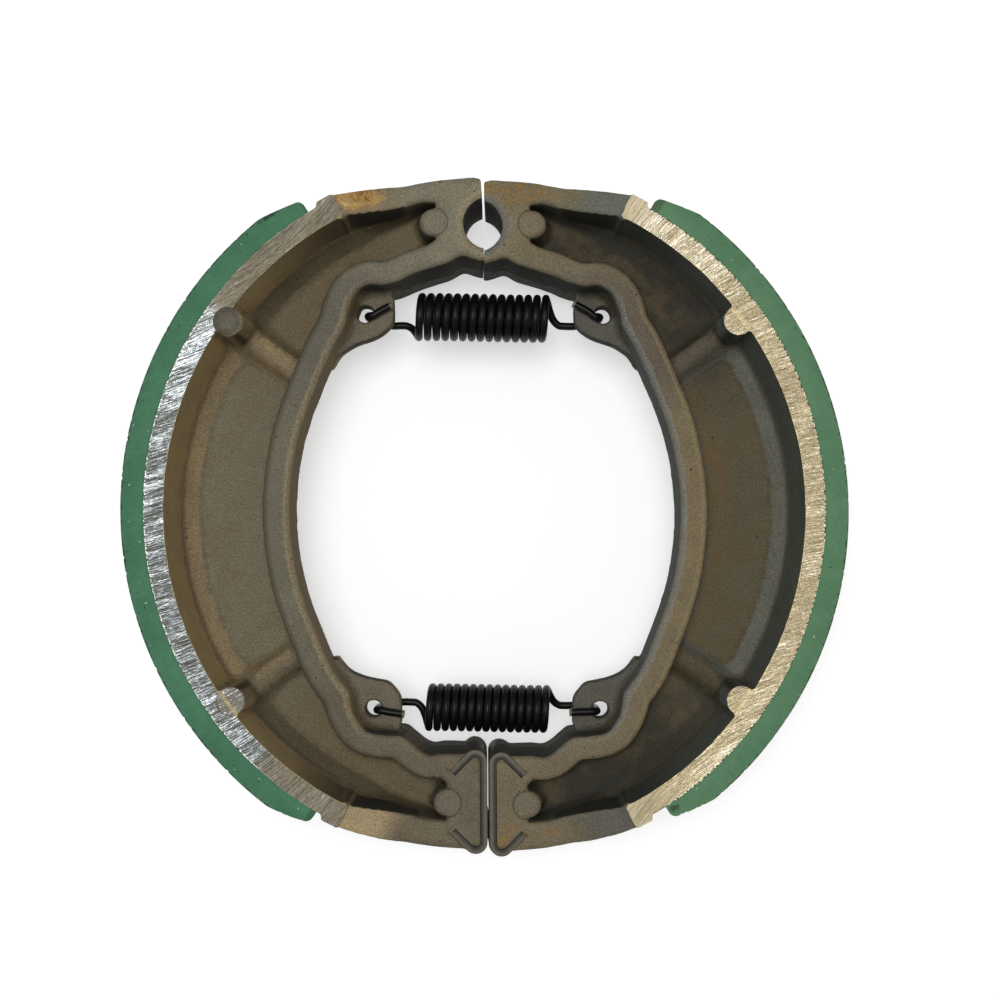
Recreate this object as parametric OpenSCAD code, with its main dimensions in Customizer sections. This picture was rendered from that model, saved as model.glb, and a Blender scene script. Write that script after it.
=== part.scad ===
/* [Linings] */
// Radius of the rubbing face of a lining about its shoe's arc centre
lining_r = 64.7; // [64:0.1:66]
// Thickness of a lining
lining_t = 3.9; // [3:0.1:5]
// Set back of a lining from each edge of its table
lining_edge = 0.2; // [0:0.05:1]
// Half of the angle that a lining spans
lining_a = 58.5; // [52:0.5:60]
// Angle by which the left lining sits towards the cam end
left_slip_a = 0.65; // [0:0.05:1.2]
// Angle by which the right lining sits towards the anchor end
right_slip_a = 0.9; // [0:0.05:1.2]
// Angle that the bevel at each end of a lining takes
bevel_a = 7; // [4:0.5:10]
// Drop of that bevel at the lining's end
bevel_drop = 1.6; // [0.5:0.1:2.5]
// Distance of each shoe's arc centre beyond the parting plane
arc_shift = 1.56; // [1.2:0.02:1.8]

/* [Table] */
// Width of the curved table that carries the lining
table_w = 28; // [28:0.5:32]
// Thickness of the table at its edges
table_t = 3.5; // [3:0.1:4.5]
// Slope of the table's inner wall, as the growth from edge to web
table_draft = 0.5; // [0:0.1:1]
// Radius of the fillet between table and web
table_fillet = 2.8; // [1.5:0.1:3.5]
// Angle between a lining's end and the stop shoulder behind it
stop_clear_a = 1.8; // [1.3:0.1:3]
// Angle that a stop shoulder takes
stop_a = 3.1; // [2:0.1:4]
// Height of a stop shoulder above the table
stop_h = 0.8; // [0.4:0.1:1.5]
// Length of the ramp from the table's full width down to the end band
ramp_l = 10.5; // [8:0.5:13]

/* [Web, flange and ribs] */
// Thickness of the flange, the end bands and the two end blocks
body_t = 17; // [14:0.5:20]
// Thickness of the web
web_t = 4; // [3:0.2:5]
// Distance of the flange from the parting plane at mid height
flange_x = 34.95; // [34:0.1:36]
// Radius of the flange's inner face
flange_r = 53.5; // [50:0.5:58]
// Thickness of the flange
flange_t = 4.2; // [3.6:0.1:5]
// Set back of the flange's back half from its front half, on the hub side
flange_step = 1.5; // [1:0.1:1.8]
// Thickness of each end band
band_t = 4.5; // [3.8:0.1:5]
// Angle of each rib from the middle of the shoe
rib_a = 35.7; // [32:0.1:38]
// Width of a rib at its crest
rib_w = 4; // [3:0.1:6]
// Growth of a rib on each side from crest to web
rib_flare = 0.7; // [0:0.1:1.2]
// Thickness of the shoe across both ribs
rib_t = 8.6; // [6:0.2:12]
// Radius of a round ejector pad
pad_r = 2.5; // [1.8:0.1:3]

/* [Anchor end] */
// Distance of the anchor pin's centre inside the linings' radius
anchor_inset = 13.4; // [12.7:0.1:14.2]
// Radius of the half round anchor seat
seat_r = 4.65; // [4:0.05:5]
// Distance of each seat's centre beyond the parting plane
seat_shift = 1.13; // [0.9:0.01:1.3]
// Width of the bevel round the seat's mouth
seat_bevel = 1.1; // [0.5:0.1:1.4]
// Depth of the bevel round the seat's mouth
seat_bevel_depth = 0.8; // [0.4:0.1:1.2]
// Distance from the pin's centre to the end of the shoe
nose_l = 8.1; // [7.5:0.1:8.8]
// Half of the gap between the shoes outside the seat
nose_gap = 0.27; // [0.27:0.01:0.5]
// Half of the gap between the shoes inside the seat
heel_gap = 0.05; // [0.05:0.01:0.2]
// Width of the anchor block from parting plane to pocket
anchor_block_w = 8.3; // [7.8:0.1:9.5]

/* [Cam end] */
// Thickness of the steel cam plate
plate_t = 1.25; // [0.8:0.05:1.6]
// Half of the gap between the two cam plates
plate_gap = 0.2; // [0.15:0.01:0.4]
// Length of the cam plate over its two bends
plate_l = 18.5; // [18:0.1:19]
// Distance of the cam plate's outer bend inside the linings' radius
plate_inset = 3.6; // [3.1:0.1:4.1]
// Bend radius of the plate at its outer face
plate_bend = 2.1; // [1.8:0.05:2.4]
// Length of each straight lip that holds the plate in the casting
lip_l = 4.3; // [3:0.1:5]
// Width of the cam block from parting plane to pocket
cam_block_w = 7.2; // [7:0.1:8.5]

/* [Springs] */
// Diameter of the spring wire
wire_d = 1.4; // [1.1:0.05:1.45]
// Outer diameter of a coil
coil_d = 8.8; // [8:0.1:9.2]
// Number of full turns in the anchor side spring
upper_turns = 14; // [10:1:15]
// Distance between the turns of the anchor side spring
upper_pitch = 1.62; // [1.56:0.01:1.65]
// Place of the anchor side spring's middle across the shoes
upper_mid = -0.3; // [-0.5:0.1:0.5]
// Distance of the anchor side spring from the anchor pin's centre
upper_drop = 15.4; // [15.2:0.1:15.6]
// Number of full turns in the cam side spring
lower_turns = 14; // [10:1:15]
// Distance between the turns of the cam side spring
lower_pitch = 1.5; // [1.47:0.01:1.6]
// Place of the cam side spring's middle across the shoes
lower_mid = 0.1; // [-0.5:0.1:0.5]
// Distance of the cam side spring from the cam plates' inner bend
lower_drop = 6.64; // [6.5:0.02:6.8]
// Distance of each anchor side hook hole from the parting plane
upper_hole_x = 21.7; // [21.4:0.1:22]
// Distance of each cam side hook hole from the parting plane
lower_hole_x = 20.7; // [20.5:0.1:21]
// Radius of the hook holes
hole_r = 1.55; // [1.5:0.05:1.7]
// Room between a hook and the ear that it hangs in
hook_clear = 0.1; // [0.05:0.01:0.15]

/* [Hidden] */
$fn = 96;

// Reach of one form into the next where two are joined
sink = 0.05;
// Reach of a cut beyond the surface that it opens
over = 1;

mid_z = table_w / 2;
lining_w = table_w - 2 * lining_edge;
table_r = lining_r - lining_t;
stop_r = table_r + stop_h;
wall_r = table_r - table_t - table_draft;
table_a = lining_a + stop_clear_a + stop_a;
shift = [arc_shift, 0];
anchor_y = lining_r - anchor_inset;
end_y = plate_inset - lining_r;
cam_y = end_y + plate_l;
upper_y = anchor_y - upper_drop;
lower_y = -cam_y - lower_drop;

upper_hole = [-upper_hole_x, upper_y + 0.3];
lower_hole = [-lower_hole_x, -lower_y];
coil_r = (coil_d - wire_d) / 2;
plate_r = plate_bend - plate_t / 2;
plate_mid_x = -plate_gap - plate_t / 2;

casting_colour = [0.50, 0.47, 0.40];
lining_colour = [0.30, 0.48, 0.36];
plate_colour = [0.30, 0.30, 0.29];
spring_colour = [0.06, 0.06, 0.06];

// Plain vector and outline helpers
function unit(v) = v / norm(v);
function mix(a, b, t) = a + (b - a) * t;
function flip(p) = [for (i = [len(p) - 1 : -1 : 0]) p[i]];
function placed(p, at) = [for (q = p) at + q];
// Point at a radius and angle about the left shoe's arc centre, from its middle towards the anchor
function pol(r, a) = shift + r * [-cos(a), sin(a)];
function pol_arc(r, a0, a1, n) = [for (i = [0 : n]) pol(r, mix(a0, a1, i / n))];
function arc(c, r, a0, a1, n) =
    [for (i = [0 : n]) let (a = mix(a0, a1, i / n)) c + r * [cos(a), sin(a)]];

// Smooth curve through every given point, with n steps to a span
function curve_at(a, b, c, d, t) =
    0.5 * (2 * b + (c - a) * t + (2 * a - 5 * b + 4 * c - d) * t * t
        + (3 * b - a - 3 * c + d) * t * t * t);
function smooth(p, n) = let (m = len(p) - 1) [
    for (i = [0 : m - 1]) for (k = [0 : n - 1])
        curve_at(p[max(i - 1, 0)], p[i], p[i + 1], p[min(i + 2, m)], k / n),
    p[m]
];
// The same run of points moved sideways by d, to the right of its travel
function beside(p, d) = let (m = len(p) - 1) [
    for (i = [0 : m]) let (t = unit(p[min(i + 1, m)] - p[max(i - 1, 0)])) p[i] + d * [t[1], -t[0]]
];

// Left shoe in plan: the face towards the hub, from the anchor seat to the cam plate
anchor_under = placed([
    [-heel_gap, -6.95], [-1.3, -6.65], [-3.5, -5.9], [-4.6, -6.2], [-6.4, -7.2],
    [-9.7, -8.2], [-12.6, -9.2], [-15.3, -10.4]
], [0, anchor_y]);
upper_round = placed([
    [3.6, 4.05], [1.8, 4.25], [0.4, 3.9], [-0.9, 3.1], [-2.0, 1.8], [-2.6, 0], [-3.0, -2.5],
    [-3.85, -4.3], [-5.5, -7.25]
], upper_hole);
lower_round = placed([
    [-7.2, 8.4], [-5.15, 5.35], [-3.9, 3.55], [-3.55, 1.55], [-2.85, -0.8], [-1.6, -2.65],
    [0.2, -3.55], [2.9, -3.9], [5.5, -4.1]
], lower_hole);
cam_under = placed([
    [-13.6, 1.3], [-11.8, -0.2], [-10.2, -0.95], [-8.2, -0.7], [-5.1, -0.75], [-3.95, -0.78]
], [0, cam_y]);
flange_c = [flange_r - flange_x, 0];
flange_arc = arc(flange_c, flange_r, 180 - 25, 180 + 24, 6);
inner_edge = smooth(concat(anchor_under, upper_round, flange_arc, lower_round, cam_under), 3);

// The outer outline of each end, from the table to the parting face
upper_end = smooth([
    pol(stop_r - sink, table_a + 0.1), pol(table_r - 0.1, table_a + 5.2),
    pol(table_r - 0.8, table_a + 10.6), [-8.9, anchor_y + nose_l - 0.6],
    [-3.1, anchor_y + nose_l - 0.1], [-1.0 - nose_gap, anchor_y + nose_l]
], 4);
lower_end = smooth([
    pol(stop_r - sink, -table_a - 0.1), pol(table_r + 0.8, -table_a - 3),
    pol(table_r + 0.6, -table_a - 8.4), [-10.6, end_y + 1.4], [-5.5, end_y + 0.95]
], 4);

// The cam plate's centre line, from its inner lip round to its outer lip
lip_inner_c = [plate_mid_x - plate_r, cam_y - plate_t / 2 - plate_r];
lip_outer_c = [plate_mid_x - plate_r, end_y + plate_t / 2 + plate_r];
inner_bend = arc(lip_inner_c, plate_r, 135, 0, 12);
outer_corner = arc(lip_outer_c, plate_r, 0, -90, 8);
outer_bend = concat(outer_corner, arc(lip_outer_c, plate_r, -101.25, -135, 3));
lip_inner_end = inner_bend[0] - lip_l * [sin(45), cos(45)];
lip_outer_end = outer_bend[len(outer_bend) - 1] + lip_l * [-sin(45), cos(45)];
plate_line = concat([lip_inner_end], inner_bend, outer_bend, [lip_outer_end]);

shoe_plan = concat(
    [[-nose_gap, anchor_y], [-nose_gap, anchor_y + nose_l - 0.8]], flip(upper_end),
    pol_arc(table_r - 1.3, table_a - 2, 2 - table_a, 30), lower_end,
    flip(outer_corner), flip(inner_bend), flip(inner_edge), [[-heel_gap, anchor_y]]
);

// The pockets lie between the flange and the table, and end at the two blocks
upper_wall_x = -anchor_block_w;
lower_wall_x = -cam_block_w;
flange_back = [
    for (q = beside(inner_edge, flange_t))
        if (q[0] < (q[1] > 0 ? upper_wall_x : lower_wall_x) - 0.8
            && min([for (p = inner_edge) norm(p - q)]) > 0.998 * flange_t) q
];
// The part of the flange's back half that is set back, from ear to ear
step_back = [for (q = beside(inner_edge, flange_step)) if (abs(q[1]) < 28.5) q];
step_reach = [6 - flange_x, 25];
step_plan = concat(
    [[step_reach[0] + 5, step_back[0][1] + 3]], step_back,
    [[step_reach[0] + 5, step_back[len(step_back) - 1][1] - 3], [step_reach[0], -step_reach[1]], step_reach]
);
// Angle at which the fillet along an end band runs into the end block
band_a = 82;
// Angles at which an end band reaches its full thickness, and at which its corner starts
band_full_a = table_a + 7.6;
corner_a = 77.5;
band_back_r = table_r - band_t;
pocket_r = table_r - table_t - sink;
upper_corner = [upper_wall_x - 0.2, pol(band_back_r, corner_a + 2)[1] - 0.5];
lower_corner = [lower_wall_x - 0.2, pol(band_back_r, -corner_a - 3)[1] + 0.5];
pocket_plan = concat(
    [[upper_wall_x, flange_back[0][1] + 1]], flange_back,
    [[lower_wall_x, flange_back[len(flange_back) - 1][1] - 1], lower_corner + [0.2, 0.8]],
    [lower_corner], pol_arc(band_back_r, -corner_a, -band_full_a, 3),
    pol_arc(pocket_r, -table_a - 0.6, table_a + 0.6, 32), pol_arc(band_back_r, band_full_a, corner_a, 3),
    [upper_corner, upper_corner + [0.2, -0.8]]
);

// Spring ears, which stand at the level of the web
upper_ear = concat(
    [upper_hole + [5.2, 4.6]],
    smooth(placed([
        [5.2, -1.2], [4.6, -2.2], [3.1, -3.5], [1.2, -4.45], [-1.05, -5.2], [-2.9, -6.1],
        [-4.2, -7.2], [-6.4, -9.9]
    ], upper_hole), 3),
    placed([[-8.4, -9.4], [-6, -3], [-4, 3.6], [-1, 6.4], [4, 6.2]], upper_hole)
);
lower_ear = concat(
    smooth(placed([
        [-6.6, 9.6], [-4.7, 7.25], [-2.2, 5.95], [0.6, 5.25], [2.5, 4.85], [3.8, 3.65],
        [4.8, 2.15], [5.0, 0.35]
    ], lower_hole), 3),
    placed([[5.0, -4.6], [3.4, -5.6], [-1, -5.4], [-4.2, -2.6], [-5.6, 3], [-8.6, 9.2]], lower_hole)
);

module slab(t, outline) {
    translate([0, 0, mid_z - t / 2]) linear_extrude(t) polygon(outline);
}

// Sweep of a radius and height profile about the left shoe's arc centre
module about_arc(a0, a1, profile) {
    translate([arc_shift, 0, mid_z]) rotate([0, 0, 180 - a1])
        rotate_extrude(angle = a1 - a0) polygon(profile);
}

// What is drawn for the front face, and its mirror image for the back face
module both_faces() {
    for (face = [0, 1]) translate([0, 0, mid_z]) mirror([0, 0, face]) children();
}

// Wall that stands on both sides of the web, with a fillet at each root
module rooted_wall(a0, a1, outer, inner, height, draft) {
    foot = web_t / 2;
    root = inner - draft;
    bend = [root - table_fillet, foot + table_fillet];
    above = concat(
        [[inner, height / 2]], arc(bend, table_fillet, 0, -78, 7), [[bend[0] - 0.4, foot - sink]]
    );
    about_arc(a0, a1, concat(
        [[outer, height / 2]], above, [for (p = flip(above)) [p[0], -p[1]]], [[outer, -height / 2]]
    ));
}

// Shoulder on the table that a lining's end faces
module stop_shoulder(a0, a1) {
    half = table_w / 2 - sink;
    about_arc(a0, a1, [[table_r - over, half], [stop_r, half], [stop_r, -half], [table_r - over, -half]]);
}

// Straight ramp beyond the table's end, from its full width down to the end block's faces
module end_ramp(side, outline) {
    half = table_w / 2 - 3 * sink;
    flat = body_t / 2;
    slope = (half - flat) / ramp_l;
    low = flat - slope * over;
    lap = 4 * sink;
    inside = side > 0 ? [upper_wall_x, anchor_y + 4] : [lower_wall_x, end_y + 6];
    intersection() {
        slab(table_w, concat(
            [pol(table_r - over, side * (table_a - 1))], beside(outline, side * sink), [inside],
            pol_arc(band_back_r + 1.5 * sink, side * corner_a, side * (band_full_a - 0.1), 4),
            pol_arc(pocket_r + 2 * sink, side * (table_a + 0.5), side * (table_a - 1), 1)
        ));
        translate([arc_shift, 0, mid_z]) rotate([0, 0, 180 - side * table_a]) rotate([90, 0, 90])
            linear_extrude(2 * table_r) polygon([
                [side * over, half], [side * lap, half], [-side * (ramp_l + over), low],
                [-side * (ramp_l + over), -low], [side * lap, -half], [side * over, -half]
            ]);
    }
}

// Tapered rib on both faces of the web, from the flange to the table
module rib(side) {
    crest = rib_w / 2;
    foot = crest + rib_flare;
    top = rib_t / 2;
    root = web_t / 2 - sink;
    reach = flange_x + arc_shift + flange_t + 0.8;
    translate([arc_shift, 0, mid_z]) rotate([0, 0, 180 - side * rib_a]) translate([reach, 0, 0])
        rotate([90, 0, 90]) linear_extrude(wall_r - reach + 1) polygon([
            [foot, root], [crest, top], [-crest, top], [-foot, root],
            [-foot, -root], [-crest, -top], [crest, -top], [foot, -root]
        ]);
}

module pad(at, height) {
    translate([at[0], at[1], mid_z - height / 2]) cylinder(r = pad_r, h = height);
}

// Round seat for the anchor pin, with a bevel at each mouth
module anchor_seat() {
    low = mid_z - body_t / 2;
    slope = seat_bevel / seat_bevel_depth;
    deep = seat_bevel_depth + sink;
    translate([seat_shift, anchor_y, low - over]) cylinder(r = seat_r, h = body_t + 2 * over);
    both_faces() translate([seat_shift, anchor_y, body_t / 2 - deep])
        cylinder(r1 = seat_r - sink * slope, r2 = seat_r + (deep + seat_bevel) * slope, h = 2 * deep + seat_bevel);
}

module hook_hole(at) {
    translate([at[0], at[1], mid_z - web_t]) cylinder(r = hole_r, h = 2 * web_t);
}

module cam_strip(thickness, width) {
    half = thickness / 2;
    slab(width, concat(beside(plate_line, half), flip(beside(plate_line, -half))));
}

// One aluminium casting: table, web, flange, ribs, pads, ears and the two end blocks
module shoe_casting() {
    difference() {
        union() {
            difference() {
                slab(body_t, shoe_plan);
                both_faces() translate([0, 0, web_t / 2]) linear_extrude(table_w) polygon(pocket_plan);
                translate([0, 0, -over]) linear_extrude(mid_z + over) polygon(step_plan);
            }
            rooted_wall(-table_a, table_a, table_r, table_r - table_t, table_w, table_draft);
            rooted_wall(-band_a, band_a, table_r - 2, pocket_r + sink / 2, body_t - 2 * over, 0);
            stop_shoulder(table_a - stop_a, table_a - sink);
            stop_shoulder(sink - table_a, stop_a - table_a);
            end_ramp(1, upper_end);
            end_ramp(-1, lower_end);
            for (side = [-1, 1]) {
                rib(side);
                pad(pol(wall_r - 0.3, side * rib_a), table_w - 4 * sink);
            }
            pad([upper_wall_x - 0.5, anchor_y + 0.1], body_t - 4 * sink);
            pad([lower_wall_x + 0.1, end_y + 9.1], body_t - 4 * sink);
            slab(web_t, upper_ear);
            slab(web_t, lower_ear);
        }
        anchor_seat();
        cam_strip(plate_t, table_w);
        hook_hole(upper_hole);
        hook_hole(lower_hole);
    }
}

// Friction lining with a bevel at each end, turned a little on its table
module lining(slip_a) {
    half = lining_w / 2;
    difference() {
        about_arc(-lining_a - slip_a, lining_a - slip_a, [
            [table_r, half], [lining_r, half], [lining_r, -half], [table_r, -half]
        ]);
        for (side = [-1, 1]) {
            a = side * lining_a - slip_a;
            start = pol(lining_r, a - side * bevel_a);
            end = pol(lining_r - bevel_drop, a);
            slab(table_w + over, [
                mix(end, start, 1.3), mix(end, start, -0.2), pol(lining_r + 2 * over, a + side * 2),
                pol(lining_r + 2 * over, a - side * bevel_a)
            ]);
        }
    }
}

// Hook at the left end of a spring, from its cut tip, through the ear, to the first turn.
// It is given about the hole's centre, and turn is +1 where it meets the coil's upper side.
function hook_line(hole, leg, tip, run, coil_x, axis_y, turn) =
    let (
        level = web_t / 2 + wire_d / 2 + hook_clear,
        bend = 1,
        near = leg[0] + bend,
        coil = [coil_x, axis_y + turn * coil_r, 0],
        front = arc([near, level - bend], bend, 90, 180, 4),
        back = arc([near, bend - level], bend, 180, 270, 4),
        steps = [[3.4, 1, 1], [2.3, 0.96, 0.98], [1.35, 0.75, 0.9], [0.75, 0.45, 0.7], [0.3, 0.15, 0.38]]
    ) concat(
        [[hole[0] + tip[0], hole[1] + tip[1], level], [hole[0] + near + 1.2, hole[1] + mix(leg[1], tip[1], 0.4), level]],
        [for (p = front) [hole[0] + p[0], hole[1] + leg[1], p[1]]],
        [for (p = back) [hole[0] + p[0], hole[1] + leg[1], p[1]]],
        smooth([
            [hole[0] + near + 1, hole[1] + mix(leg[1], run + axis_y - hole[1], 0.3), -level],
            [mix(hole[0] + near, coil_x - 3.4, 0.6), axis_y + run, -level],
            for (s = steps) [coil_x - s[0], mix(coil[1], axis_y + run, s[1]), -level * s[2]],
            coil + [-0.02, 0, -0.3]
        ], 2)
    );

// Coil from the lower side of its left end, round the front, to the upper side of its right end
function coil_line(x0, axis_y, pitch, turns) = let (n = 12) [
    for (i = [0 : n * turns + n / 2]) let (a = 360 * i / n)
        [x0 + pitch * i / n, axis_y - coil_r * cos(a), coil_r * sin(a)]
];

function right_side(p) = flip([for (q = p) [-q[0], q[1], q[2]]]);

// Round wire swept along a line of points
module wire(line) {
    sides = 7;
    m = len(line) - 1;
    way = [for (i = [0 : m]) unit(line[min(i + 1, m)] - line[max(i - 1, 0)])];
    across = [
        for (i = 0, n = unit(cross(way[0], [1, 0.3, 0.2])); i <= m; i = i + 1,
            n = i <= m ? unit(n - (n * way[i]) * way[i]) : n) n
    ];
    rings = [
        for (i = [0 : m]) let (u = across[i], v = cross(way[i], u)) for (k = [0 : sides - 1])
            line[i] + wire_d / 2 * (u * cos(360 * k / sides) + v * sin(360 * k / sides))
    ];
    walls = [
        for (i = [0 : m - 1]) for (k = [0 : sides - 1])
            let (a = i * sides + k, b = i * sides + (k + 1) % sides)
                each [[a, a + sides, b], [b, a + sides, b + sides]]
    ];
    first_cap = [for (k = [0 : sides - 1]) k];
    last_cap = [for (k = [sides - 1 : -1 : 0]) m * sides + k];
    translate([0, 0, mid_z]) polyhedron(rings, concat(walls, [first_cap, last_cap]));
}

module left_shoe() {
    color(casting_colour) shoe_casting();
}

module right_shoe() {
    color(casting_colour) mirror([1, 0, 0]) shoe_casting();
}

module left_lining() {
    color(lining_colour) lining(left_slip_a);
}

module right_lining() {
    color(lining_colour) mirror([1, 0, 0]) lining(-right_slip_a);
}

module left_cam_plate() {
    color(plate_colour) cam_strip(plate_t, body_t);
}

module right_cam_plate() {
    color(plate_colour) mirror([1, 0, 0]) cam_strip(plate_t, body_t);
}

module upper_spring() {
    x0 = upper_mid - upper_pitch * (upper_turns + 0.5) / 2;
    x1 = upper_mid + upper_pitch * (upper_turns + 0.5) / 2;
    leg = [0.55, -0.45];
    tip = [4.8, 1.3];
    color(spring_colour) wire(concat(
        hook_line(upper_hole, leg, tip, -1.1, x0, upper_y, -1),
        coil_line(x0, upper_y, upper_pitch, upper_turns),
        right_side(hook_line(upper_hole, leg, tip, -0.95, -x1, upper_y, 1))
    ));
}

module lower_spring() {
    x0 = lower_mid - lower_pitch * (lower_turns + 0.5) / 2;
    x1 = lower_mid + lower_pitch * (lower_turns + 0.5) / 2;
    leg = [0.6, -0.2];
    tip = [5.5, -0.8];
    color(spring_colour) wire(concat(
        hook_line(lower_hole, leg, tip, 0.6, x0, -lower_y, -1),
        coil_line(x0, -lower_y, lower_pitch, lower_turns),
        right_side(hook_line(lower_hole, leg, tip, 0.24, -x1, -lower_y, 1))
    ));
}

left_shoe();
right_shoe();
left_lining();
right_lining();
left_cam_plate();
right_cam_plate();
upper_spring();
lower_spring();
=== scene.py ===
"""Drum brake shoe set: castings, linings, cam plates and return springs on a pale floor."""

import math
from functools import reduce

import bmesh
import bpy
import numpy as np
from mathutils import Matrix, Vector


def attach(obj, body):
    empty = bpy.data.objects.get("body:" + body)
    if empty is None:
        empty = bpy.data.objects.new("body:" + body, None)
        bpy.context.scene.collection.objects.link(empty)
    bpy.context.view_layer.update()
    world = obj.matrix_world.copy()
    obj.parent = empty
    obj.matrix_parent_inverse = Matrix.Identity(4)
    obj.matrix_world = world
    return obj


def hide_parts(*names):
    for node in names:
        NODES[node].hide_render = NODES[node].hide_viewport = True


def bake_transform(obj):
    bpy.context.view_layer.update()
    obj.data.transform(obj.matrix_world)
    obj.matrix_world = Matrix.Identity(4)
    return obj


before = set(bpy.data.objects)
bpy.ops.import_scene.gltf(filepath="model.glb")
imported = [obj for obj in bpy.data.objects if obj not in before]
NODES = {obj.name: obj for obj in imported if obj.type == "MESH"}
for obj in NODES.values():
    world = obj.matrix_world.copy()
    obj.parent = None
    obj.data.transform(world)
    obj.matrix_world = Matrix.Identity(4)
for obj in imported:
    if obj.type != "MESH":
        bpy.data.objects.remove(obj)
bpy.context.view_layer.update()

# All sizes below are in millimetres and degrees; meshes are scaled to metres when they are made
MM = 0.001
DEGREES = 180 / math.pi
MID_Z = 14.0
ARC_X = 1.56
TABLE_R, TABLE_IN, TABLE_DRAFT, TABLE_A, TABLE_HALF = 60.8, 57.3, 0.5, 63.4, 14.0
STOP_R, STOP_A = 61.6, 3.1
RAMP_L, RAMP_LAP = 10.5, 0.25
BODY_HALF, WEB_HALF = 8.5, 2.0
RIB_A, RIB_HALF, RIB_TOP = 35.7, 2.0, 4.3
PAD_R = 2.5
END_PADS = ((-8.8, 51.4), (-7.1, -52.0))
# Ejector pad at each rib, across from the shoe's arc centre and up
RIB_PAD = 56.5 * math.cos(math.radians(RIB_A)), 56.5 * math.sin(math.radians(RIB_A))
# Arc of the flange's pocket side: its centre across, and its radius
FLANGE_X, FLANGE_R = 18.55, 55.6
ANCHOR_Y, SEAT_X, SEAT_R, SEAT_BEVEL, SEAT_DEPTH = 51.3, 1.13, 4.65, 1.1, 0.8
NOSE_GAP, HEEL_GAP = 0.27, 0.05
HOLE_R = 1.55
UPPER_HOLE, LOWER_HOLE = (-21.7, 36.2), (-20.7, -35.96)
LINING_R, LINING_HALF = 64.85, 13.8
LINING_BEVEL_A, LINING_BEVEL, LINING_WORN_A, LINING_WORN = 7.0, 1.6, 0.95, 1.05
# Half angle of each lining, and how far round it was set from the middle of its table
LINING_A = {"left": 58.85, "right": 58.6}
LINING_SLIP = {"left": 0.3, "right": -1.0}
PLATE_T, PLATE_GAP, PLATE_BEND = 1.25, 0.2, 2.1
PLATE_TOP, PLATE_END, PLATE_LIP = 42.6, 61.1, 4.3

# Lean of the gap between the two shoes, across for each unit of height
GAP_LEAN = 0.026
# The springs hold the right half this much lower than the left one
DROP = 0.5
# Heights from the middle at which the flange's and the web's outlines are taken
FLANGE_LEVEL, WEB_LEVEL = 7.03, 0.03
# How far the flange's back half stands back, and up to where; what is added on its pocket side
FLANGE_STEP, FLANGE_STEP_Y, FLANGE_MORE = 1.5, 33.5, 0.5
# Rounding of the flange's edges and of the web's, fillets at body, ribs and table, floor's corners
FLANGE_ROUND, WEB_ROUND, BODY_FILLET, RIB_FILLET, TABLE_FILLET = 1.05, 0.45, 1.3, 2.4, 0.9
FLOOR_R, FLOOR_CORNER = 53.4, 3.6
# Parting flash on the flange
FLASH = 0.08
# Grid step of the castings' distance field, and how many of its square faces thinning leaves
STEP, THINNED = 0.4, 84000
# Wire of the springs, middle of its coils, and its room at the ears
WIRE_R, COIL_R, HOOK_ROOM = 0.7, 3.7, 0.1
# Run-in from a hook's straight stretch to the coil: distance before it, shares across and in depth
LEAD_IN = ((3.4, 1, 1), (2.3, 0.96, 0.98), (1.35, 0.75, 0.9), (0.75, 0.45, 0.7), (0.3, 0.15, 0.38))


def smoothstep(low, high, v):
    t = np.clip((v - low) / (high - low), 0, 1)
    return t * t * (3 - 2 * t)


def meet(*fields):
    """What several distance fields have in common, with sharp edges."""
    return reduce(np.maximum, fields)


def join(*fields):
    """Several distance fields joined, with sharp corners."""
    return reduce(np.minimum, fields)


def fillet_union(a, b, r):
    """Two distance fields joined, with a round fillet of radius r in the corner between them."""
    return np.maximum(r, np.minimum(a, b)) - np.hypot(np.maximum(r - a, 0), np.maximum(r - b, 0))


def rounded_meet(a, b, r):
    """What two distance fields have in common, with the edge between them rounded to radius r."""
    return np.minimum(-r, np.maximum(a, b)) + np.hypot(np.maximum(r + a, 0), np.maximum(r + b, 0))


def ripple(x, y, z, length, seed):
    """Smooth uneven field of about -1 to 1, for hand finished or cast surfaces."""
    rng = np.random.default_rng(seed)
    total = 0
    for _ in range(6):
        way = rng.normal(size=3)
        way *= 2 * math.pi / length / np.linalg.norm(way) * rng.uniform(0.7, 1.4)
        total = total + np.sin(way[0] * x + way[1] * y + way[2] * z + rng.uniform(0, 6.3))
    return total / 3


def section(node, height):
    """Segments in which a node's surface crosses a height, as pairs of points in millimetres."""
    mesh = NODES[node].data
    mesh.calc_loop_triangles()
    co = np.empty(len(mesh.vertices) * 3, np.float32)
    mesh.vertices.foreach_get("co", co)
    tri = np.empty(len(mesh.loop_triangles) * 3, np.int32)
    mesh.loop_triangles.foreach_get("vertices", tri)
    p = (co.reshape(-1, 3) / MM)[tri.reshape(-1, 3)]
    side = p[:, :, 2] > height
    p, side = p[side.any(1) & ~side.all(1)], side[side.any(1) & ~side.all(1)]
    crossed, points = [], []
    for a, b in ((0, 1), (1, 2), (2, 0)):
        crossed.append(side[:, a] != side[:, b])
        run = p[:, b] - p[:, a]
        t = (height - p[:, a, 2]) / np.where(crossed[-1], run[:, 2], 1)
        points.append(p[:, a, :2] + t[:, None] * run[:, :2])
    return np.stack(points, 1)[np.stack(crossed, 1)].reshape(-1, 2, 2)


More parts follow.
